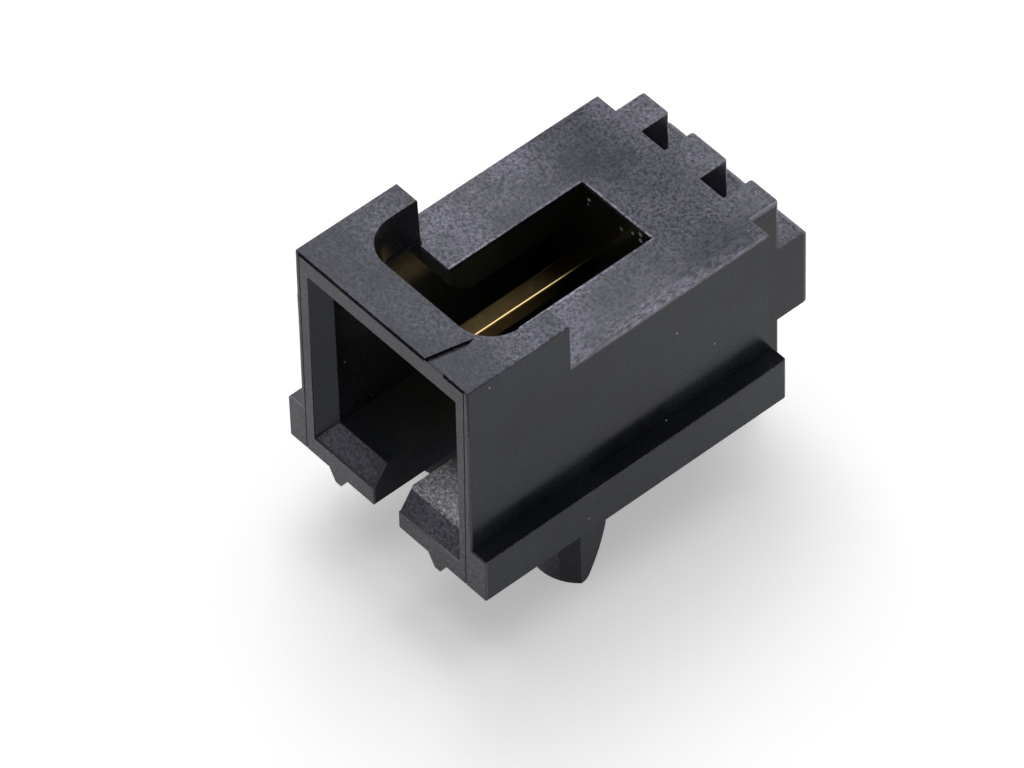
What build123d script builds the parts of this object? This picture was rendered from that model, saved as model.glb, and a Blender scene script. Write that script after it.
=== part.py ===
from build123d import *
import math
import os

# Right-angle shrouded pin header with two square pins at 2.54 mm pitch.
# +X runs along the pin row, +Z points up from the board, and the plug enters from -Y, moving along +Y.
# The origin lies on the board, midway between the two pin tails.
# While it is built, y counts from the top of the mouth's face and z from the housing's underside.

# Pins
pin_pitch = 2.54
pin_side = 0.64
pin_edge_r = 0.07
pin_axis_height = 3.48
pin_tip_inset = 2.50
pin_tip_side = 0.30
pin_tip_taper = 0.80
pin_bend_inner_r = 0.30
tail_below_board = 2.85
tail_tip_side = 0.34
tail_tip_taper = 0.60
tail_behind_body = 1.08
pin_clearance = 0.01

# Housing shell
body_width = 7.49
body_length = 11.46
body_height = 6.59
roof_edge_r = 0.10
frame_height = 8.38
frame_length = 3.84
frame_corner_r = 0.06
front_lean = 0.08
top_edge_r = 0.06

# Plug cavity
cavity_width = 5.42
cavity_depth = 8.88
floor_thickness = 1.40
roof_thickness = 1.35
roof_ramp = 0.68
lead_in_depth = 0.50
lead_in_side = 0.52
lead_in_floor = 0.72

# Latch side of the shroud
latch_space_width = 5.68
latch_space_end = 3.78
latch_wall_draft = 2.5
latch_ledge_height = 6.76
bridge_thickness = 0.73
bridge_depth = 1.54
bridge_corner_r = 1.22
window_width = 3.02
window_offset = 0.06

# Keying slot in the floor
key_slot_width = 1.13
key_slot_offset = -0.035
key_slot_length = 6.20

# Side flanges on the board
flange_width = 8.70
flange_height = 1.62
flange_lap = 0.10
flange_rear_overhang = 0.14
flange_front_r = 0.05
flange_rear_r = 0.12
flange_edge_r = 0.03

# Ribs and bend guard on the rear face
rib_span = 5.97
rib_depth = 1.09
rib_root_r = 0.10
rib_corner_r = 0.14
rib_edge_r = 0.08
rib_top_r = 0.18
notch_width = 1.03
guard_depth = 2.28
guard_bottom = 1.57
guard_top = 4.60
guard_corner_r = 0.25
guard_top_r = 0.42

# Stand-off rails and pegs under the housing
rail_spacing = 4.40
rail_height = 0.45
rail_base_width = 0.80
rail_foot_width = 0.25
peg_spacing = 5.40
peg_to_tail = 7.62
peg_r = 1.55
peg_half_width = 1.19
peg_back = 0.10
peg_length = 2.78
peg_lean = 0.88
peg_back_bulge = 0.175
peg_edge_r = 0.30

# Marks of the mould
seam_width = 0.04
seam_depth = 0.04
seam_top_x = 3.56
seam_bottom_x = 3.45
top_seam_inset = 0.01
top_seam_width = 0.12
top_seam_depth = 0.08
seam_break_end = 2.71
weld_mark_depth = 0.12
weld_mark_left = [(1.89, 0.00), (2.11, 0.97), (2.23, 1.42), (2.26, 1.57)]
weld_mark_right = [(2.30, 1.42), (2.35, 1.26), (2.37, 1.01), (2.27, 0.73), (2.19, 0.46), (2.16, 0.15), (2.09, 0.00)]

# Places worked out from the sizes above
pin_xs = [-pin_pitch / 2, pin_pitch / 2]
tail_y = body_length + tail_behind_body
peg_y = tail_y - peg_to_tail
pin_slot_side = pin_side + 2 * pin_clearance
roof_under = body_height - roof_thickness
bridge_under = frame_height - bridge_thickness
bend_centre_r = pin_bend_inner_r + pin_side / 2
tail_bottom = -rail_height - tail_below_board
to_origin = Pos(0, -tail_y, rail_height)


def slab(x_span, y_span, z_span):
    """A block between two limits along each axis."""
    size = [span[1] - span[0] for span in (x_span, y_span, z_span)]
    corner = Pos(x_span[0], y_span[0], z_span[0])
    return corner * Box(*size, align=(Align.MIN, Align.MIN, Align.MIN))


def centred(width, y_span, z_span):
    """A block that is centred on x = 0."""
    return slab((-width / 2, width / 2), y_span, z_span)


def side_prism(width, outline):
    """A side view, given as (y, z) corners, drawn out over a width centred on x = 0."""
    face = Plane.YZ * make_face(Polyline(*outline, close=True))
    return extrude(face, amount=width / 2, both=True)


def at(corners, x, y):
    """The corners of an outline that lie at plus or minus x and at y."""
    return [v for v in corners if abs(abs(v.X) - x) < 1e-4 and abs(v.Y - y) < 1e-4]


def rear_body():
    """The long low part of the shell with its three rear ribs, as one plan outline."""
    shell = Rectangle(body_width, body_length, align=(Align.CENTER, Align.MIN))
    ribs = Pos(0, body_length) * Rectangle(rib_span, rib_depth, align=(Align.CENTER, Align.MIN))
    plan = shell + ribs
    for x in pin_xs:
        notch = Rectangle(notch_width, rib_depth, align=(Align.CENTER, Align.MIN))
        plan -= Pos(x, body_length) * notch
    rear = body_length + rib_depth
    for x in (pin_pitch / 2 - notch_width / 2, pin_pitch / 2 + notch_width / 2):
        plan = fillet(at(plan.vertices(), x, rear), rib_edge_r)
    plan = fillet(at(plan.vertices(), rib_span / 2, rear), rib_corner_r)
    plan = fillet(at(plan.vertices(), rib_span / 2, body_length), rib_root_r)
    body = extrude(plan, amount=body_height)
    rib_row = centred(rib_span, (body_length, rear), (0, body_height))
    rib_row = fillet(rib_row.faces().sort_by(Axis.Z)[-1].edges().filter_by(Axis.Y), rib_top_r)
    body -= centred(body_width, (body_length, rear), (body_height - rib_top_r, body_height)) - rib_row
    top = body.faces().sort_by(Axis.Z)[-1]
    long_edges = [e for e in top.edges().filter_by(Axis.Y) if abs(abs(e.center().X) - body_width / 2) < 1e-4]
    return fillet(long_edges, roof_edge_r)


def front_frame():
    """The tall frame round the mouth, whose top bridge catches the plug's latch."""
    frame = side_prism(body_width, [(-front_lean, 0), (frame_length, 0), (frame_length, frame_height), (0, frame_height)])
    front = frame.faces().sort_by(Axis.Y)[0]
    uprights = [e for e in front.edges() if abs(abs(e.center().X) - body_width / 2) < 1e-4]
    frame = fillet(uprights, frame_corner_r)
    return fillet(frame.faces().sort_by(Axis.Z)[-1].edges(), top_edge_r)


def ahead_of_front():
    """The space ahead of the mouth's face, which leans back towards its top."""
    far = -body_length
    return side_prism(2 * flange_width, [
        (-front_lean * (1 + rail_height / frame_height), -rail_height),
        (0, frame_height),
        (far, frame_height),
        (far, -rail_height),
    ])


def flanges():
    """The foot that stands out along both sides, with rounded corners."""
    outer = flange_width / 2
    rear = body_length + flange_rear_overhang
    plan = Pos(0, -front_lean) * Rectangle(flange_width, rear + front_lean, align=(Align.CENTER, Align.MIN))
    plan = fillet(at(plan.vertices(), outer, -front_lean), flange_front_r)
    plan = fillet(at(plan.vertices(), outer, rear), flange_rear_r)
    foot = extrude(plan, amount=flange_height)
    foot = fillet(foot.faces().sort_by(Axis.Z)[-1].edges(), flange_edge_r)
    between = body_width - 2 * flange_lap
    return foot - centred(between, (-front_lean, rear), (0, flange_height))


def bend_guard():
    """The block behind the rear face that covers the bends of the pins, rounded off towards the rear."""
    rear = body_length + guard_depth
    plan = Rectangle(rib_span, guard_depth, align=(Align.CENTER, Align.MIN))
    plan = Pos(0, body_length) * plan
    plan = fillet(at(plan.vertices(), rib_span / 2, rear), guard_corner_r)
    block = Pos(0, 0, guard_bottom) * extrude(plan, amount=guard_top - guard_bottom)
    hood = centred(rib_span, (body_length, rear), (guard_bottom, guard_top))
    top_rear = hood.faces().sort_by(Axis.Z)[-1].edges().sort_by(Axis.Y)[-1]
    return block & fillet(top_rear, guard_top_r)


def rail(x):
    """A stand-off rail along the underside, narrow where it meets the board."""
    base, foot = rail_base_width / 2, rail_foot_width / 2
    outline = Polyline((x - base, 0), (x - foot, -rail_height), (x + foot, -rail_height), (x + base, 0), close=True)
    section = Plane.XZ.offset(2 * front_lean) * make_face(outline)
    return extrude(section, amount=-body_length - 2 * front_lean)


def peg(x):
    """A half-moon board peg whose back curves forward towards the tip."""
    plan = Circle(peg_r) & Rectangle(2 * peg_half_width, 4 * peg_r)
    top, tip_y = (peg_back, 0), peg_back - peg_lean
    middle = (peg_back - peg_lean / 2 + peg_back_bulge, -peg_length / 2)
    back = ThreePointArc(top, middle, (tip_y, -peg_length))
    rest = Polyline((tip_y, -peg_length), (-2 * peg_r, -peg_length), (-2 * peg_r, 0), top)
    side = Plane.YZ * make_face(back + rest)
    column = extrude(plan, amount=-peg_length) & extrude(side, amount=2 * peg_r, both=True)
    tip = column.faces().sort_by(Axis.Z)[0]
    back_edge = tip.edges().sort_by(Axis.Y)[-1]
    column = fillet(back_edge, peg_edge_r)
    return Pos(x, peg_y, 0) * column


def plug_cavity():
    """The hollow that takes the plug, from the flared mouth to the wall that holds the pins."""
    ramp_end = latch_space_end + roof_ramp
    hollow = side_prism(cavity_width, [
        (-front_lean, floor_thickness),
        (cavity_depth, floor_thickness),
        (cavity_depth, roof_under),
        (ramp_end, roof_under),
        (latch_space_end, roof_under + roof_ramp),
        (latch_space_end, body_height),
        (frame_length, body_height),
        (frame_length, bridge_under),
        (-front_lean, bridge_under),
    ])
    return hollow + lead_in()


def lead_in():
    """The flare of the mouth on both side walls and the floor."""
    outer = Pos(0, 0, floor_thickness - lead_in_floor) * Rectangle(
        cavity_width + 2 * lead_in_side,
        bridge_under - floor_thickness + lead_in_floor,
        align=(Align.CENTER, Align.MIN),
    ).moved(Rot(X=90))
    inner = Pos(0, lead_in_depth, floor_thickness) * Rectangle(
        cavity_width,
        bridge_under - floor_thickness,
        align=(Align.CENTER, Align.MIN),
    ).moved(Rot(X=90))
    flare = loft([outer.faces()[0], inner.faces()[0]])
    ahead = Pos(0, -front_lean, 0) * extrude(outer, amount=front_lean, dir=(0, 1, 0))
    return flare + ahead


def latch_openings():
    """The cut behind the bridge, with round front corners, and the long window in the roof.

    The cut is wider than the cavity, which leaves a narrow ledge along both side walls. Its walls
    draw in a little on the way down.
    """
    plan = Pos(0, bridge_depth) * Rectangle(latch_space_width, frame_length, align=(Align.CENTER, Align.MIN))
    plan = fillet(at(plan.vertices(), latch_space_width / 2, bridge_depth), bridge_corner_r)
    depth = frame_height - latch_ledge_height
    behind_bridge = Pos(0, 0, frame_height) * extrude(plan, amount=-depth, taper=latch_wall_draft)
    window = centred(window_width, (latch_space_end - roof_ramp, cavity_depth), (roof_under, body_height))
    return behind_bridge + Pos(window_offset, 0, 0) * window


def key_slot():
    """The slot in the floor that takes the plug's key, open at the mouth."""
    slot = centred(key_slot_width, (-front_lean, key_slot_length), (0, floor_thickness))
    return Pos(key_slot_offset, 0, 0) * slot


def pin_passage(x):
    """The square hole through the rear wall and the slot that the bend drops into from behind."""
    half = pin_slot_side / 2
    relief_start = tail_y - pin_side / 2 - pin_bend_inner_r - pin_clearance
    guard_end = body_length + guard_depth
    top = pin_axis_height + half
    hole = slab((x - half, x + half), (cavity_depth, relief_start), (pin_axis_height - half, top))
    slot = slab((x - half, x + half), (relief_start, guard_end), (guard_bottom, top))
    return hole + slot


def mould_seam():
    """The fine parting line up both legs of the mouth's face, and the wider one under its top edge."""
    top = frame_height - top_seam_inset
    weld_x = weld_mark_left[0][0]
    lines = slab((-seam_top_x, weld_x), (-front_lean, top_seam_depth), (top - top_seam_width, top))
    lines += slab((seam_break_end, seam_top_x), (-front_lean, top_seam_depth), (top - top_seam_width, top))
    face_lean = Rot(X=-math.degrees(math.atan2(front_lean, frame_height)))
    for side, bottom_x in ((-1, seam_top_x), (1, seam_bottom_x)):
        upright = Polyline(
            (side * bottom_x, 0),
            (side * (bottom_x + seam_width), 0),
            (side * (seam_top_x + seam_width), top),
            (side * seam_top_x, top),
            close=True,
        )
        line = extrude(Plane.XZ.offset(seam_depth) * make_face(upright), amount=-2 * seam_depth)
        lines += Pos(0, -front_lean, 0) * face_lean * line
    return lines


def weld_mark():
    """A ragged groove across the bridge, where two flows met."""
    outline = make_face(Polyline(*weld_mark_left, *weld_mark_right, close=True))
    return Pos(0, 0, frame_height - weld_mark_depth) * extrude(outline, amount=weld_mark_depth)


def housing():
    """The black moulding, one piece with its flanges, rails, pegs and bend guard."""
    shell = rear_body() + front_frame() + flanges() + bend_guard()
    for side in (-1, 1):
        shell += rail(side * rail_spacing / 2) + peg(side * peg_spacing / 2)
    shell -= ahead_of_front()
    shell -= plug_cavity() + latch_openings() + key_slot()
    for x in pin_xs:
        shell -= pin_passage(x)
    shell -= mould_seam()
    shell -= weld_mark()
    return shell


def pin(x):
    """A square pin: pointed mating end, straight run, bend, and tail down through the board."""
    start = pin_tip_inset + pin_tip_taper
    end = tail_bottom + tail_tip_taper
    mating_plane = Plane(origin=(x, start, pin_axis_height), x_dir=(1, 0, 0), z_dir=(0, -1, 0))
    tail_plane = Plane(origin=(x, tail_y, end), x_dir=(1, 0, 0), z_dir=(0, 0, -1))
    square = RectangleRounded(pin_side, pin_side, pin_edge_r)
    corner = (x, tail_y, pin_axis_height)
    route = FilletPolyline(mating_plane.origin, corner, tail_plane.origin, radius=bend_centre_r)
    shaft = sweep(mating_plane * square, path=route)
    mating_end = pin_point(mating_plane, pin_tip_side, pin_tip_taper)
    tail_end = pin_point(tail_plane, tail_tip_side, tail_tip_taper)
    return shaft + mating_end + tail_end


def pin_point(plane, end_side, taper):
    """The taper at one end of a pin, from its full square to a smaller one."""
    full = plane * RectangleRounded(pin_side, pin_side, pin_edge_r)
    small = plane.offset(taper) * RectangleRounded(end_side, end_side, pin_edge_r)
    return loft([full, small])


os.makedirs("parts", exist_ok=True)
export_step(to_origin * housing(), "parts/housing.step")
for name, x in zip(("left_pin", "right_pin"), pin_xs):
    export_step(to_origin * pin(x), f"parts/{name}.step")
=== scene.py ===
"""Looks of the right-angle pin header: a black moulded housing with two plated pins."""

import math

import bpy
from bpy.props import FloatProperty, FloatVectorProperty, PointerProperty
from bpy.types import NodeSocket, Operator, Panel, PropertyGroup
from mathutils import Euler, Matrix, Vector


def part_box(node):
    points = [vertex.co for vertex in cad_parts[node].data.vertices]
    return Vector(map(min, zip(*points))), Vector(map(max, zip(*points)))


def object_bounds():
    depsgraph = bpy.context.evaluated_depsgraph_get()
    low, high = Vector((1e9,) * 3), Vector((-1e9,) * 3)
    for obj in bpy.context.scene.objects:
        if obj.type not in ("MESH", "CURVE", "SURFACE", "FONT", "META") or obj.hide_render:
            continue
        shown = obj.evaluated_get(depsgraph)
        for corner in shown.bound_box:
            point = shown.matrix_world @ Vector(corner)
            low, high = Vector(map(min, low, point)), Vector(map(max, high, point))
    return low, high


bl_info = {
    "name": "Pin Header",
    "version": (1, 0, 0),
    "blender": (4, 5, 0),
    "location": "View3D > Sidebar > Pin Header",
    "description": "Dresses the moulded housing and the plated pins, and sets the stage round them",
    "category": "Object",
}

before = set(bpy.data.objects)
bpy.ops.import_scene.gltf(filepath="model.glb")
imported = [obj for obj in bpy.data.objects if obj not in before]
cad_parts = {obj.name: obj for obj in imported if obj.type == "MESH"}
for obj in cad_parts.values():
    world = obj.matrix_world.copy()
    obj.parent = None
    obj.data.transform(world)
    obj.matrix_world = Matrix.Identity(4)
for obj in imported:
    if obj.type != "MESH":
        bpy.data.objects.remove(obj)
frame_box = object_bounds()

MM = 0.001
HOUSING = "housing"
PINS = ("left_pin", "right_pin")


def span(start, first, last):
    """Two places on a line, given in millimetres from a third one."""
    return start + first * MM, start + last * MM


# Levels of the housing, from the part's box and the moulding's own heights
FRAME_HEIGHT = 8.38 * MM
BODY_HEIGHT = 6.59 * MM
FLOOR_THICKNESS = 1.40 * MM
LOW, HIGH = frame_box
UNDERSIDE_Z = HIGH.z - FRAME_HEIGHT
ROOF_Z = UNDERSIDE_Z + BODY_HEIGHT
FRAME_TOP_FROM_Z = ROOF_Z + 1.0 * MM
FLOOR_Z = UNDERSIDE_Z + FLOOR_THICKNESS
SLOT_TOP_Z = FLOOR_Z + 0.05 * MM
CAVITY_Z = (FLOOR_Z - 0.05 * MM, ROOF_Z - 0.14 * MM)
# Painted glints on the rear wall fade in over these heights
GLINTS_FADE_IN_Z = span(ROOF_Z, -0.94, -0.54)
ROOF_REACH = 0.15 * MM
FLOOR_REACH = 0.10 * MM

# Places along the housing, counted from the top of the mouth's face
FRONT_LEAN = 0.0843 * MM
BRIDGE_DEPTH = 1.54 * MM
CAVITY_DEPTH = 8.88 * MM
FRONT_Y = LOW.y + FRONT_LEAN
LIP_REAR_Y = FRONT_Y + 0.005 * MM
BRIDGE_REAR_Y = FRONT_Y + BRIDGE_DEPTH
# Painted pool of light on the cavity floor fades in over this stretch
FLOOR_LIGHT_FADE_IN_Y = span(BRIDGE_REAR_Y, 0.6, 0.0)
REAR_WALL_Y = FRONT_Y + CAVITY_DEPTH
REAR_WALL_REACH = 0.06 * MM
CAVITY_END_Y = REAR_WALL_Y + 0.1 * MM
# Painted light in the cavity fades in over the first stretch, and goes over to painted shade over the second
CAVITY_PAINT_FROM_Y = span(FRONT_Y, 0.34, 3.54)
CAVITY_SHADE_Y = span(FRONT_Y, 4.54, 7.04)
ROOF_DARKENS_Y = span(REAR_WALL_Y, -1.34, 0.86)
ROOF_LIGHTENS_Y = span(REAR_WALL_Y, 1.66, 3.26)
BLOCK_FROM_Y = HIGH.y - 1.0 * MM

# Places across the housing
ROOF_HALF = HIGH.x - 0.61 * MM
OUTER_WALL_X = ROOF_HALF - 0.24 * MM
CAVITY_HALF = 2.80 * MM
SLOT_HALF = 0.62 * MM
# Painted pool of light on the cavity floor starts here
FLOOR_LIGHT_FROM_X = 0.5 * MM
ROOF_EDGE_X = span(ROOF_HALF, -0.6, 0.0)
ROOF_RIM_X = span(0.0, 0.0, 1.0)
DRAWN_OUT_X = span(0.0, 2.2, 3.6)

# Middle and half length: of the roof round the window, across and along, and of the roof's rim in height
WINDOW_RIM_X = (0.06 * MM, 1.59 * MM)
WINDOW_RIM_Y = (REAR_WALL_Y - 2.52 * MM, 2.60 * MM)
ROOF_RIM_Z = (ROOF_Z - 0.05 * MM, 0.07 * MM)

# How much of its normal points a way before a face counts as looking that way
LOOKS_UP = 0.5
LOOKS_SQUARE = 0.9

# Middle and reach of the normal's height on slanted faces, and on the rounded edges of a pin
SLANTED = (0.55, 0.40)
ROUNDED_EDGE = (0.70, 0.25)

# Strength of the grain on each kind of face, which also sets how pale the face is painted: partly real
# grain, partly painted sheen
SIDE_GRAIN = 0.05
ROOF_GRAIN = 0.80
REAR_ROOF_GRAIN = 0.50
FACE_GRAIN_AND_SHEEN = {
    "legs": 0.62,
    "bridge": 0.40,
    "block": 0.78,
    "window_rim": 1.30,
    "roof_edge": 0.605,
    "slanted": 0.50,
    "forward": 0.30,
}

# Noise, fibres, flecks and clouds of the moulded skin
DRAWN_OUT_SCALE = (1.0, 0.42, 1.0)
LUMP_NOISE = {"Detail": 3.0, "Roughness": 0.92}
LINE_NOISE = {"Detail": 1.0, "Roughness": 0.5}
CLOUD_NOISE = {"Scale": 450.0, "Detail": 3.0, "Roughness": 0.55}
NOISE_MIDDLE = 0.5
FIBRE_HALF_WIDTH = 0.045
FIBRES_FROM_LUMPS = (0.42, 0.56)
FIBRE_SHARE = 0.16
FLECK_RANGE = (0.28, 0.80)
FLECK_CONTRAST = 1.9
CLOUD_RANGE = (0.32, 0.68)
CLOUD_EFFECT = (0.35, 1.55)

# Round specks: cells in a metre, size of a speck in cells, and share of the cells left out
DUST = (900.0, 0.035, 0.35)
# Painted glints on the window's rear wall
GLINT_SPECKS = (3600.0, 0.27, 0.55)

# Colours and finishes of single places on the housing: real dust and mottling, and painted highlights,
# glints, light and shade
# Painted highlight: even pale grey on the front edges round the mouth
LIP_HIGHLIGHT_COLOR = (0.085, 0.086, 0.092)
# Painted light: a pale pool and sheen on the right of the cavity's floor
FLOOR_LIGHT_COLOR = (0.90, 0.90, 0.95)
FLOOR_LIGHT_RANGE = (0.0, 0.7)
DUST_COLOR = (0.42, 0.42, 0.43)
# Painted shade: colour of the cavity's deepest walls
DEEP_SHADE_COLOR = (0.013, 0.013, 0.0105)
# Painted glints: colour of the specks on the window's rear wall
GLINT_COLOR = (0.50, 0.50, 0.53)
# Painted highlight along the roof's right rim
RIM_HIGHLIGHT_COLOR = (0.38, 0.38, 0.42)
RIM_HIGHLIGHT_LEAST = 0.35
MOTTLE_FLECKS = 0.35
MOTTLE_RANGE = (0.44, 0.80)
SLOT_ROUGHNESS = 0.75
REAR_ROOF_ROUGHNESS = 0.58
CLOUD_ROUGHNESS = 0.24

# Plating of the pins along their length, with painted shade on the stretch inside the housing
FLATS_SHADED_Y = span(FRONT_Y, 5.54, 7.64)
EDGES_SHADED_Y = span(FRONT_Y, 7.54, 8.34)
TIN_FROM_Y = span(FRONT_Y, 10.94, 11.14)
HAZE_NOISE = {"Scale": 2500.0, "Detail": 3.0}
HAZE_ROUGHNESS = (0.15, 0.32)

# Camera with its turn in degrees and its lens and sensor in millimetres, floor and lamps
CAMERA_PLACE = Vector((138.274, -123.138, 205.751)) * MM
CAMERA_TURN = (41.5326, 1.2344, 48.7649)
CAMERA_LENS = 329.034
CAMERA_CLIP = (0.01, 10.0)
SENSOR = 36.0
WHITE = (1.0, 1.0, 1.0, 1.0)
FLOOR_HALF = 2.0
TAILS_TO_PEG_TIPS = 9.17 * MM
LAMP_AIM = Vector((0, -6, 3)) * MM
SOFTBOX_PLACE = Vector((-110, 60, 190)) * MM
SOFTBOX_SIZE = 0.12
OVERHEAD_PLACE = Vector((-55, 50, 220)) * MM
OVERHEAD_SIZE = 0.30

# A Mix node has sockets for each kind of value: the ones for numbers and for colours stand at these places
MIX_NUMBERS = (0, 2, 3)
MIX_COLORS = (0, 6, 7)
MIXED_NUMBER = 0
MIXED_COLOR = 2


class HousingSettings(PropertyGroup):
    """Sizes and colours of the black moulding."""

    plastic: FloatVectorProperty(
        name="Plastic",
        description="Colour of the black glass-filled plastic",
        subtype="COLOR",
        size=3,
        min=0,
        max=1,
        default=(0.0062, 0.0074, 0.0092),
    )
    # Partly real fibres, partly painted sheen and sparkle: the pale flecks also set how bright the top faces
    # are
    skin: FloatVectorProperty(
        name="Pale skin",
        description="Colour of the patches where fibres lie close under the skin",
        subtype="COLOR",
        size=3,
        min=0,
        max=1,
        default=(0.44, 0.43, 0.54),
    )
    wall: FloatVectorProperty(
        name="Side wall",
        description="Colour of the mottling on the outer side walls",
        subtype="COLOR",
        size=3,
        min=0,
        max=1,
        default=(0.017, 0.022, 0.031),
    )
    grain: FloatProperty(
        name="Grain",
        description="Width of one grain of the surface texture",
        unit="LENGTH",
        min=0.01 * MM,
        max=1.0 * MM,
        default=0.115 * MM,
    )
    grain_depth: FloatProperty(
        name="Grain depth",
        description="Height of the surface texture",
        unit="LENGTH",
        min=0.0,
        max=0.1 * MM,
        default=0.008 * MM,
    )
    side_roughness: FloatProperty(
        name="Side roughness",
        description="Roughness of the smooth side walls",
        min=0.0,
        max=1.0,
        default=0.22,
    )
    top_roughness: FloatProperty(
        name="Top roughness",
        description="Roughness of the top of the mouth's frame and of the block behind the ribs",
        min=0.0,
        max=1.0,
        default=0.40,
    )
    roof_roughness: FloatProperty(
        name="Roof roughness",
        description="Roughness of the coarse roof",
        min=0.0,
        max=1.0,
        default=0.33,
    )
    # Painted light: a paler colour that lifts the cavity's walls near the mouth, standing in for the light
    # that reaches in
    inner: FloatVectorProperty(
        name="Inner plastic",
        description="Colour of the plastic inside the cavity",
        subtype="COLOR",
        size=3,
        min=0,
        max=1,
        default=(0.024, 0.0245, 0.021),
    )
    ior: FloatProperty(
        name="Refractive index",
        description="Refractive index of the plastic's skin",
        min=1.0,
        max=2.0,
        default=1.31,
    )
    tint: FloatVectorProperty(
        name="Sheen tint",
        description="Tint of the light that the skin throws back",
        subtype="COLOR",
        size=3,
        min=0,
        max=1,
        default=(0.84, 0.86, 1.0),
    )


class PinSettings(PropertyGroup):
    """Plating colours of the pins, with painted shade for the stretch inside the housing."""

    gold: FloatVectorProperty(
        name="Gold plating",
        description="Colour of the plating on the mating end",
        subtype="COLOR",
        size=3,
        min=0,
        max=1,
        default=(0.90, 0.66, 0.29),
    )
    # Painted shade: dark gold for the plating deep inside the housing, where less light reaches
    plating_shade: FloatVectorProperty(
        name="Dull stretch",
        description="Colour of the plating deep inside the housing",
        subtype="COLOR",
        size=3,
        min=0,
        max=1,
        default=(0.05, 0.042, 0.018),
    )
    metallic: FloatProperty(
        name="Metallic",
        description="Share of the plating's light that a clean metal would mirror",
        min=0.0,
        max=1.0,
        default=0.80,
    )
    tin: FloatVectorProperty(
        name="Tin plating",
        description="Colour of the plating on the tail",
        subtype="COLOR",
        size=3,
        min=0,
        max=1,
        default=(0.62, 0.61, 0.59),
    )


class StageSettings(PropertyGroup):
    """Light and floor."""

    softbox_power: FloatProperty(
        name="Softbox power",
        description="Power of the lamp behind, to the left and above, which puts the sheen on the top faces",
        unit="POWER",
        min=0.0,
        default=0.132,
    )
    overhead_power: FloatProperty(
        name="Overhead power",
        description="Power of the large lamp overhead",
        unit="POWER",
        min=0.0,
        default=0.34,
    )
    fill: FloatProperty(
        name="Fill",
        description="Brightness of the surroundings for everything but the camera and reflections",
        min=0.0,
        max=2.0,
        default=0.20,
    )
    floor_glow: FloatProperty(
        name="Floor glow",
        description="What the floor adds of its own for the camera and for reflections",
        min=0.0,
        max=1.0,
        default=0.38,
    )
    floor: FloatVectorProperty(
        name="Floor",
        description="Colour of the floor",
        subtype="COLOR",
        size=3,
        min=0,
        max=1,
        default=(0.88, 0.88, 0.885),
    )


def plug(tree, socket, value):
    """Feed a socket from another node's output, or set it to a plain number or colour."""
    if isinstance(value, NodeSocket):
        tree.links.new(value, socket)
    elif socket.type == "RGBA":
        socket.default_value = (*value, 1)
    else:
        socket.default_value = value


def add_node(tree, kind, inputs=None, **values):
    """A shader node with its properties and its unlinked inputs set."""
    node = tree.nodes.new(kind)
    for name, value in values.items():
        setattr(node, name, value)
    for name, value in (inputs or {}).items():
        node.inputs[name].default_value = value
    return node


def math_node(tree, operation, *terms):
    """The result of one sum, whose terms are numbers or other nodes' outputs."""
    node = add_node(tree, "ShaderNodeMath", operation=operation)
    for socket, term in zip(node.inputs, terms):
        plug(tree, socket, term)
    return node.outputs[0]


def mix_values(tree, factor, first, second):
    """A value between two others."""
    node = add_node(tree, "ShaderNodeMix", data_type="FLOAT")
    for place, value in zip(MIX_NUMBERS, (factor, first, second)):
        plug(tree, node.inputs[place], value)
    return node.outputs[MIXED_NUMBER]


def mix_colors(tree, factor, first, second):
    """A colour between two others."""
    node = add_node(tree, "ShaderNodeMix", data_type="RGBA")
    for place, value in zip(MIX_COLORS, (factor, first, second)):
        plug(tree, node.inputs[place], value)
    return node.outputs[MIXED_COLOR]


def ramp(tree, value, low, high, first=0.0, last=1.0):
    """A value spread over another range and held at its ends."""
    limits = {"From Min": low, "From Max": high, "To Min": first, "To Max": last}
    node = add_node(tree, "ShaderNodeMapRange", limits)
    plug(tree, node.inputs["Value"], value)
    return node.outputs["Result"]


def near(tree, value, centre, reach):
    """1 where a value lies within reach of a centre."""
    return math_node(tree, "COMPARE", value, centre, reach)


def between(tree, value, low, high):
    """1 where a value lies between two limits."""
    return near(tree, value, (low + high) / 2, (high - low) / 2)


def above(tree, value, limit):
    """1 where a value is over a limit."""
    return math_node(tree, "GREATER_THAN", value, limit)


def below(tree, value, limit):
    """1 where a value is under a limit."""
    return math_node(tree, "LESS_THAN", value, limit)


def unsigned(tree, value):
    """A value without its sign."""
    return math_node(tree, "ABSOLUTE", value)


def inverse(tree, mask):
    """0 where a mask is 1, and 1 where it is 0."""
    return math_node(tree, "SUBTRACT", 1.0, mask)


def every(tree, *masks):
    """The product of several masks."""
    product = masks[0]
    for mask in masks[1:]:
        product = math_node(tree, "MULTIPLY", product, mask)
    return product


def open_group(name, inputs, outputs):
    """An empty node group with named sockets, and its two end nodes."""
    tree = bpy.data.node_groups.new(name, "ShaderNodeTree")
    for title, kind, value in inputs:
        socket = tree.interface.new_socket(title, in_out="INPUT", socket_type=kind)
        socket.default_value = value
    for title, kind in outputs:
        tree.interface.new_socket(title, in_out="OUTPUT", socket_type=kind)
    return tree, tree.nodes.new("NodeGroupInput"), tree.nodes.new("NodeGroupOutput")


def skin_noise(tree, source, places, kind):
    """Noise of the group's grain, which goes over to its drawn-out copy as far as the group is told."""
    copies = []
    for place in places:
        noise = add_node(tree, "ShaderNodeTexNoise", kind)
        plug(tree, noise.inputs["Vector"], place)
        plug(tree, noise.inputs["Scale"], source.outputs["Grain Scale"])
        copies.append(noise.outputs["Fac"])
    return mix_values(tree, source.outputs["Drawn Out"], *copies)


def fibre_lines(tree, lumps, lines):
    """Short pale fibres: the thin lines where a noise crosses its middle, only where lumps are high."""
    off_line = unsigned(tree, math_node(tree, "SUBTRACT", lines, NOISE_MIDDLE))
    line = ramp(tree, off_line, 0.0, FIBRE_HALF_WIDTH, 1.0, 0.0)
    return every(tree, line, ramp(tree, lumps, *FIBRES_FROM_LUMPS))


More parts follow.
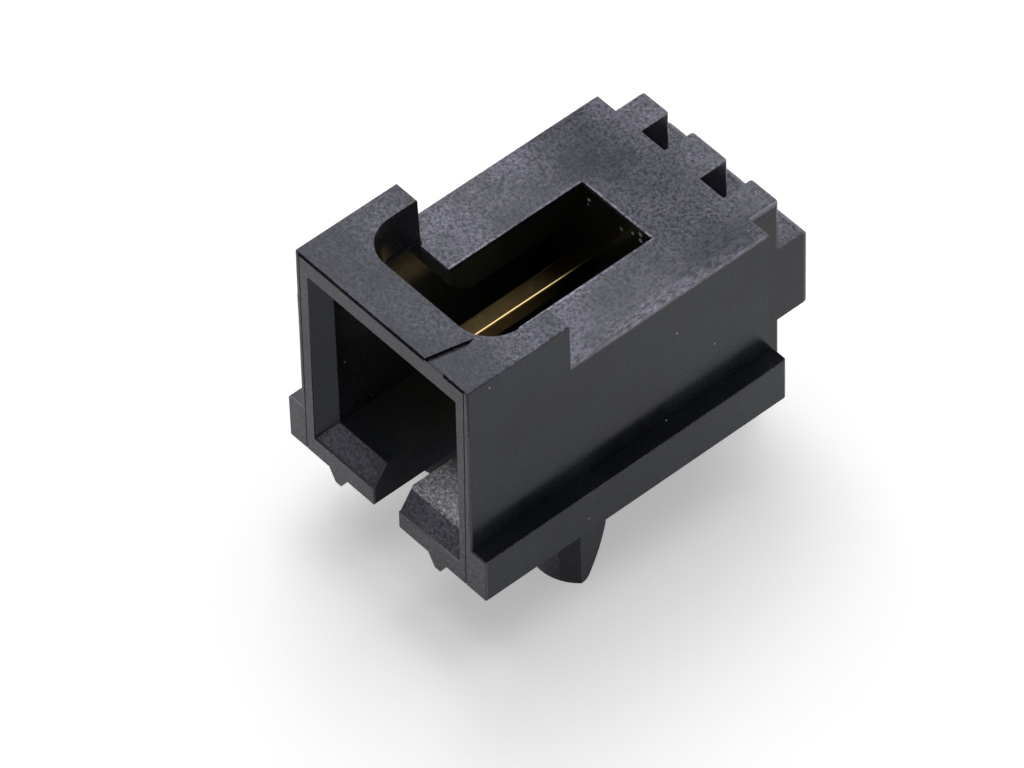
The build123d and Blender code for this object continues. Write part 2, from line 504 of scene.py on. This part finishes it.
def grain_group():
    """Moulded skin: bright flecks and short fibres that can be drawn out along y, and slow clouds."""
    name = "Moulded Skin"
    if name in bpy.data.node_groups:
        return bpy.data.node_groups[name]
    tree, source, result = open_group(
        name,
        [
            ("Dark", "NodeSocketColor", (0.004, 0.004, 0.005, 1)),
            ("Pale", "NodeSocketColor", (0.02, 0.02, 0.025, 1)),
            ("Grain Scale", "NodeSocketFloat", 9000.0),
            ("Strength", "NodeSocketFloat", 1.0),
            ("Drawn Out", "NodeSocketFloat", 0.0),
        ],
        [
            ("Color", "NodeSocketColor"),
            ("Cloud", "NodeSocketFloat"),
            ("Flecks", "NodeSocketFloat"),
            ("Height", "NodeSocketFloat"),
        ],
    )
    place = add_node(tree, "ShaderNodeTexCoord").outputs["Object"]
    drawn_out = add_node(tree, "ShaderNodeMapping", {"Scale": DRAWN_OUT_SCALE})
    plug(tree, drawn_out.inputs["Vector"], place)
    places = (place, drawn_out.outputs["Vector"])
    lumps = skin_noise(tree, source, places, LUMP_NOISE)
    lines = skin_noise(tree, source, places, LINE_NOISE)
    cloud = add_node(tree, "ShaderNodeTexNoise", CLOUD_NOISE)
    plug(tree, cloud.inputs["Vector"], place)

    strength = source.outputs["Strength"]
    flecks = math_node(tree, "POWER", ramp(tree, lumps, *FLECK_RANGE), FLECK_CONTRAST)
    pale = math_node(tree, "MULTIPLY_ADD", fibre_lines(tree, lumps, lines), FIBRE_SHARE, flecks)
    clouded = every(tree, pale, ramp(tree, cloud.outputs["Fac"], *CLOUD_RANGE, *CLOUD_EFFECT), strength)
    color = mix_colors(tree, clouded, source.outputs["Dark"], source.outputs["Pale"])
    plug(tree, result.inputs["Color"], color)
    plug(tree, result.inputs["Cloud"], cloud.outputs["Fac"])
    plug(tree, result.inputs["Flecks"], flecks)
    plug(tree, result.inputs["Height"], every(tree, lumps, strength))
    return tree


def specks(tree, place, scale, size, left_out):
    """1 on round specks, one in each cell of a scale, apart from the share of cells left out."""
    cells = add_node(tree, "ShaderNodeTexVoronoi", {"Scale": scale})
    plug(tree, cells.inputs["Vector"], place)
    pick = add_node(tree, "ShaderNodeSeparateColor")
    plug(tree, pick.inputs["Color"], cells.outputs["Color"])
    small = below(tree, cells.outputs["Distance"], size)
    return every(tree, small, above(tree, pick.outputs["Red"], left_out))


def empty_tree(owner):
    """The emptied node tree of a material or a world."""
    owner.use_nodes = True
    owner.node_tree.nodes.clear()
    return owner.node_tree


def new_material(name):
    """A material with an empty tree, its shader and its output."""
    material = bpy.data.materials.new(name)
    tree = empty_tree(material)
    shader = add_node(tree, "ShaderNodeBsdfPrincipled")
    output = add_node(tree, "ShaderNodeOutputMaterial")
    plug(tree, output.inputs["Surface"], shader.outputs["BSDF"])
    return material, tree, shader


def read_surface(tree):
    """A point's place, and the x, y and z of its place and of its normal, as nodes' outputs."""
    source = add_node(tree, "ShaderNodeTexCoord")
    at = add_node(tree, "ShaderNodeSeparateXYZ")
    plug(tree, at.inputs["Vector"], source.outputs["Object"])
    facing = add_node(tree, "ShaderNodeSeparateXYZ")
    plug(tree, facing.inputs["Vector"], source.outputs["Normal"])
    return source.outputs["Object"], at.outputs, facing.outputs


def housing_faces(tree, at, facing):
    """Masks of the housing's faces that differ in grain, gloss or colour."""
    x, y, z = at
    up = above(tree, facing["Z"], LOOKS_UP)
    roof = every(tree, up, near(tree, z, ROOF_Z, ROOF_REACH))
    frame_top = every(tree, up, above(tree, z, FRAME_TOP_FROM_Z))
    legs = every(tree, frame_top, above(tree, y, BRIDGE_REAR_Y))
    forward = below(tree, facing["Y"], -LOOKS_SQUARE)
    behind_lip = math_node(tree, "MAXIMUM", forward, above(tree, y, LIP_REAR_Y))
    return {
        "up": up,
        "roof": roof,
        "rear_roof": every(tree, ramp(tree, y, *ROOF_DARKENS_Y), ramp(tree, y, *ROOF_LIGHTENS_Y, 1.0, 0.0)),
        "window_rim": every(tree, near(tree, x, *WINDOW_RIM_X), near(tree, y, *WINDOW_RIM_Y), roof),
        "roof_edge": every(tree, ramp(tree, x, *ROOF_EDGE_X), roof),
        "drawn_out": every(tree, ramp(tree, x, *DRAWN_OUT_X), roof),
        "frame_top": frame_top,
        "legs": legs,
        "bridge": math_node(tree, "SUBTRACT", frame_top, legs),
        "block": every(tree, up, above(tree, y, BLOCK_FROM_Y), inverse(tree, roof)),
        "slanted": near(tree, facing["Z"], *SLANTED),
        "forward": forward,
        "lip": inverse(tree, behind_lip),
        "sideways": above(tree, unsigned(tree, facing["X"]), LOOKS_SQUARE),
    }


def grain_and_sheen_strength(tree, faces):
    """How strong the grain is on each face of the housing, which also sets how much painted sheen each face
    gets.
    """
    roof_grain = mix_values(tree, faces["rear_roof"], ROOF_GRAIN, REAR_ROOF_GRAIN)
    strength = math_node(tree, "MULTIPLY_ADD", faces["roof"], roof_grain, SIDE_GRAIN)
    # The grain's strength on each face also paints that face's sheen
    for face, grain in FACE_GRAIN_AND_SHEEN.items():
        strength = math_node(tree, "MULTIPLY_ADD", faces[face], grain, strength)
    return strength


def wall_mottling(tree, at, faces, skin):
    """Slow patches on the outer side walls."""
    outer_wall = above(tree, unsigned(tree, at["X"]), OUTER_WALL_X)
    patches = math_node(tree, "MULTIPLY_ADD", skin["Flecks"], MOTTLE_FLECKS, skin["Cloud"])
    return every(tree, faces["sideways"], outer_wall, ramp(tree, patches, *MOTTLE_RANGE))


def painted_floor_light(tree, at, faces, skin):
    """Painted pool of light and sheen on the right of the cavity's floor, under the bridge, streaked by the
    flecks.
    """
    x, y, z = at
    floor = every(tree, faces["up"], near(tree, z, FLOOR_Z, FLOOR_REACH), above(tree, x, FLOOR_LIGHT_FROM_X))
    return every(tree, floor, ramp(tree, y, *FLOOR_LIGHT_FADE_IN_Y), ramp(tree, skin["Flecks"], *FLOOR_LIGHT_RANGE))


def painted_cavity_mask(tree, at, faces):
    """Where painted light and shade go: the walls inside the cavity, more and more from the mouth inwards.
    """
    x, y, z = at
    return every(
        tree,
        near(tree, x, 0.0, CAVITY_HALF),
        between(tree, z, *CAVITY_Z),
        ramp(tree, y, *CAVITY_PAINT_FROM_Y),
        below(tree, y, CAVITY_END_Y),
        inverse(tree, faces["roof"]),
    )


def rear_wall_glints(tree, place, at, inside):
    """Painted glints: pale specks on the upper part of the wall at the window's rear end."""
    wall = near(tree, at["Y"], REAR_WALL_Y, REAR_WALL_REACH)
    return every(tree, inside, wall, ramp(tree, at["Z"], *GLINTS_FADE_IN_Z), specks(tree, place, *GLINT_SPECKS))


def painted_rim_highlight(tree, at, faces, skin):
    """Painted highlight on the rounded rim of the roof on its right half, varied by the flecks."""
    edge = every(tree, faces["slanted"], near(tree, at["Z"], *ROOF_RIM_Z), ramp(tree, at["X"], *ROOF_RIM_X))
    return every(tree, edge, ramp(tree, skin["Flecks"], 0.0, 1.0, RIM_HIGHLIGHT_LEAST, 1.0))


def housing_color(tree, settings, place, at, faces, skin):
    """The moulded skin's colour, with each place that differs laid over it in turn: mottling and dust, and
    painted highlights, glints, light and shade.
    """
    # Painted light on the cavity's walls near the mouth, going over to painted shade deeper in
    inside = painted_cavity_mask(tree, at, faces)
    cavity_light_and_shade = mix_colors(tree, ramp(tree, at["Y"], *CAVITY_SHADE_Y), settings.inner, DEEP_SHADE_COLOR)
    color = skin["Color"]
    for mask, layer in (
        (wall_mottling(tree, at, faces, skin), settings.wall),
        # Painted highlight on the mouth's front edges
        (faces["lip"], LIP_HIGHLIGHT_COLOR),
        # Painted pool of light on the cavity's floor
        (painted_floor_light(tree, at, faces, skin), FLOOR_LIGHT_COLOR),
        (specks(tree, place, *DUST), DUST_COLOR),
        # Painted light and shade inside the cavity
        (inside, cavity_light_and_shade),
        # Painted glints on the window's rear wall
        (rear_wall_glints(tree, place, at, inside), GLINT_COLOR),
        # Painted highlight along the roof's right rim
        (painted_rim_highlight(tree, at, faces, skin), RIM_HIGHLIGHT_COLOR),
    ):
        color = mix_colors(tree, mask, color, layer)
    return color


def slot_walls(tree, at, faces):
    """The side walls of the keying slot."""
    x, y, z = at
    slot = every(tree, near(tree, x, 0.0, SLOT_HALF), below(tree, z, SLOT_TOP_Z))
    return every(tree, slot, below(tree, y, REAR_WALL_Y), faces["sideways"])


def housing_roughness(tree, settings, at, faces, skin):
    """Smooth walls, duller tops, a coarse roof and a dull keying slot, all a little clouded."""
    tops = math_node(tree, "MAXIMUM", faces["frame_top"], faces["block"])
    rough = mix_values(tree, tops, settings.side_roughness, settings.top_roughness)
    roof_rough = mix_values(tree, faces["rear_roof"], settings.roof_roughness, REAR_ROOF_ROUGHNESS)
    rough = mix_values(tree, faces["roof"], rough, roof_rough)
    rough = mix_values(tree, slot_walls(tree, at, faces), rough, SLOT_ROUGHNESS)
    clouded = math_node(tree, "MULTIPLY_ADD", skin["Cloud"], CLOUD_ROUGHNESS, rough)
    return math_node(tree, "SUBTRACT", clouded, CLOUD_ROUGHNESS / 2)


def plastic_material(settings):
    """Black glass-filled plastic: a rough sparkling roof, a finer bridge and smooth side walls."""
    material, tree, shader = new_material("black_plastic")
    plug(tree, shader.inputs["IOR"], settings.ior)
    plug(tree, shader.inputs["Specular Tint"], settings.tint)
    place, at, facing = read_surface(tree)
    faces = housing_faces(tree, at, facing)
    group = add_node(tree, "ShaderNodeGroup", node_tree=grain_group())
    plug(tree, group.inputs["Dark"], settings.plastic)
    plug(tree, group.inputs["Pale"], settings.skin)
    plug(tree, group.inputs["Grain Scale"], 1 / settings.grain)
    plug(tree, group.inputs["Strength"], grain_and_sheen_strength(tree, faces))
    plug(tree, group.inputs["Drawn Out"], faces["drawn_out"])
    skin = group.outputs
    bump = add_node(tree, "ShaderNodeBump", {"Strength": 1.0, "Distance": settings.grain_depth})
    plug(tree, bump.inputs["Height"], skin["Height"])
    plug(tree, shader.inputs["Base Color"], housing_color(tree, settings, place, at, faces, skin))
    plug(tree, shader.inputs["Roughness"], housing_roughness(tree, settings, at, faces, skin))
    plug(tree, shader.inputs["Normal"], bump.outputs["Normal"])
    return material


def plating_color(tree, settings, at, facing):
    """Gold with painted shade inside the housing, on the flats before the edges, and tin on the tail."""
    y = at["Y"]
    flat = inverse(tree, near(tree, facing["Z"], *ROUNDED_EDGE))
    # Painted shade: the flats go dark first, deeper in the housing, then the rounded edges
    shaded_flats = every(tree, flat, ramp(tree, y, *FLATS_SHADED_Y))
    dull = math_node(tree, "MAXIMUM", ramp(tree, y, *EDGES_SHADED_Y), shaded_flats)
    plated = mix_colors(tree, dull, settings.gold, settings.plating_shade)
    return mix_colors(tree, ramp(tree, y, *TIN_FROM_Y), plated, settings.tin)


def plating_material(settings):
    """Gold on the mating end and tin on the tail, with painted shade on the stretch between them inside the
    housing.
    """
    material, tree, shader = new_material("pin_plating")
    plug(tree, shader.inputs["Metallic"], settings.metallic)
    place, at, facing = read_surface(tree)
    haze = add_node(tree, "ShaderNodeTexNoise", HAZE_NOISE)
    plug(tree, haze.inputs["Vector"], place)
    plug(tree, shader.inputs["Base Color"], plating_color(tree, settings, at, facing))
    plug(tree, shader.inputs["Roughness"], ramp(tree, haze.outputs["Fac"], 0.0, 1.0, *HAZE_ROUGHNESS))
    return material


def wear(obj, material):
    """Make a material the object's only one."""
    obj.data.materials.clear()
    obj.data.materials.append(material)


class PINHEADER_OT_dress_housing(Operator):
    """Give the moulded housing its black plastic"""

    bl_idname = "pin_header.dress_housing"
    bl_label = "Dress Housing"

    def execute(self, context):
        wear(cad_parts[HOUSING], plastic_material(context.scene.pin_header_housing))
        return {"FINISHED"}


class PINHEADER_OT_plate_pins(Operator):
    """Give both pins their plating"""

    bl_idname = "pin_header.plate_pins"
    bl_label = "Plate Pins"

    def execute(self, context):
        plating = plating_material(context.scene.pin_header_pins)
        for name in PINS:
            wear(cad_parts[name], plating)
        return {"FINISHED"}


def add_camera(context):
    """The camera at the photograph's viewing angle."""
    camera = bpy.data.cameras.new("camera")
    camera.sensor_fit = "HORIZONTAL"
    camera.sensor_width = SENSOR
    camera.lens = CAMERA_LENS
    camera.clip_start, camera.clip_end = CAMERA_CLIP
    holder = bpy.data.objects.new("camera", camera)
    turn = Euler([math.radians(angle) for angle in CAMERA_TURN], "XYZ").to_matrix().to_4x4()
    holder.matrix_world = Matrix.Translation(CAMERA_PLACE) @ turn
    context.scene.collection.objects.link(holder)
    context.scene.camera = holder


def add_lamp(context, name, place, size, power):
    """A square lamp that looks at the part."""
    lamp = bpy.data.lights.new(name, "AREA")
    lamp.shape = "SQUARE"
    lamp.size = size
    lamp.energy = power
    holder = bpy.data.objects.new(name, lamp)
    turn = (LAMP_AIM - place).to_track_quat("-Z", "Y").to_matrix().to_4x4()
    holder.matrix_world = Matrix.Translation(place) @ turn
    context.scene.collection.objects.link(holder)


def bright_rays(tree):
    """1 for camera, mirror and transmission rays, which see the white backdrop at full brightness."""
    path = add_node(tree, "ShaderNodeLightPath")
    seen = math_node(tree, "MAXIMUM", path.outputs["Is Camera Ray"], path.outputs["Is Glossy Ray"])
    return math_node(tree, "MAXIMUM", seen, path.outputs["Is Transmission Ray"])


def add_world(context, settings):
    """White surroundings for the camera and for reflections, and a softer fill for the rest."""
    world = bpy.data.worlds.new("studio")
    tree = empty_tree(world)
    sky = add_node(tree, "ShaderNodeBackground", {"Color": WHITE})
    plug(tree, sky.inputs["Strength"], ramp(tree, bright_rays(tree), 0.0, 1.0, settings.fill, 1.0))
    output = add_node(tree, "ShaderNodeOutputWorld")
    plug(tree, output.inputs["Surface"], sky.outputs["Background"])
    context.scene.world = world


def floor_material(settings):
    """A white floor that shows pure white to the camera where nothing shades it."""
    material = bpy.data.materials.new("white_floor")
    tree = empty_tree(material)
    paper = add_node(tree, "ShaderNodeBsdfDiffuse", {"Color": (*settings.floor, 1)})
    glow = add_node(tree, "ShaderNodeEmission", {"Color": WHITE})
    lift = math_node(tree, "MULTIPLY", bright_rays(tree), settings.floor_glow)
    plug(tree, glow.inputs["Strength"], lift)
    both = add_node(tree, "ShaderNodeAddShader")
    for socket, layer in zip(both.inputs, (paper.outputs["BSDF"], glow.outputs["Emission"])):
        plug(tree, socket, layer)
    output = add_node(tree, "ShaderNodeOutputMaterial")
    plug(tree, output.inputs["Surface"], both.outputs["Shader"])
    return material


def add_floor(context, settings):
    """A floor that touches the tips of the pegs and of the tails."""
    low_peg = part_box(HOUSING)[0]
    low_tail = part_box(PINS[0])[0]
    tilt = math.atan2(low_peg.z - low_tail.z, TAILS_TO_PEG_TIPS)
    mesh = bpy.data.meshes.new("floor")
    corners = [(x * FLOOR_HALF, y * FLOOR_HALF, 0) for x, y in ((-1, -1), (1, -1), (1, 1), (-1, 1))]
    mesh.from_pydata(corners, [], [(0, 1, 2, 3)])
    floor = bpy.data.objects.new("floor", mesh)
    floor.location = (0, 0, low_tail.z)
    floor.rotation_euler = (-tilt, 0, 0)
    context.scene.collection.objects.link(floor)
    wear(floor, floor_material(settings))


class PINHEADER_OT_set_stage(Operator):
    """Add the camera, both lamps, the surroundings and the floor"""

    bl_idname = "pin_header.set_stage"
    bl_label = "Set Stage"

    def execute(self, context):
        settings = context.scene.pin_header_stage
        add_camera(context)
        add_lamp(context, "softbox", SOFTBOX_PLACE, SOFTBOX_SIZE, settings.softbox_power)
        add_lamp(context, "overhead", OVERHEAD_PLACE, OVERHEAD_SIZE, settings.overhead_power)
        add_world(context, settings)
        add_floor(context, settings)
        context.scene.view_settings.view_transform = "Standard"
        return {"FINISHED"}


class PINHEADER_PT_sidebar(Panel):
    """Lists the steps and their settings"""

    bl_idname = "PINHEADER_PT_sidebar"
    bl_label = "Pin Header"
    bl_space_type = "VIEW_3D"
    bl_region_type = "UI"
    bl_category = "Pin Header"

    def draw(self, context):
        for group, step in SIDEBAR_ROWS:
            settings = getattr(context.scene, group)
            box = self.layout.box()
            for name in settings.bl_rna.properties.keys():
                if name not in {"rna_type", "name"}:
                    box.prop(settings, name)
            box.operator(step)


SETTINGS = {
    "pin_header_housing": HousingSettings,
    "pin_header_pins": PinSettings,
    "pin_header_stage": StageSettings,
}
SIDEBAR_ROWS = (
    ("pin_header_housing", "pin_header.dress_housing"),
    ("pin_header_pins", "pin_header.plate_pins"),
    ("pin_header_stage", "pin_header.set_stage"),
)
OPERATORS = (
    PINHEADER_OT_dress_housing,
    PINHEADER_OT_plate_pins,
    PINHEADER_OT_set_stage,
)


def register():
    for kind in (*SETTINGS.values(), *OPERATORS, PINHEADER_PT_sidebar):
        bpy.utils.register_class(kind)
    for name, kind in SETTINGS.items():
        setattr(bpy.types.Scene, name, PointerProperty(type=kind))


def unregister():
    for name in SETTINGS:
        delattr(bpy.types.Scene, name)
    for kind in (PINHEADER_PT_sidebar, *reversed(OPERATORS), *reversed(list(SETTINGS.values()))):
        bpy.utils.unregister_class(kind)


def main():
    register()
    bpy.ops.pin_header.dress_housing()
    bpy.ops.pin_header.plate_pins()
    bpy.ops.pin_header.set_stage()


if __name__ == "__main__":
    main()
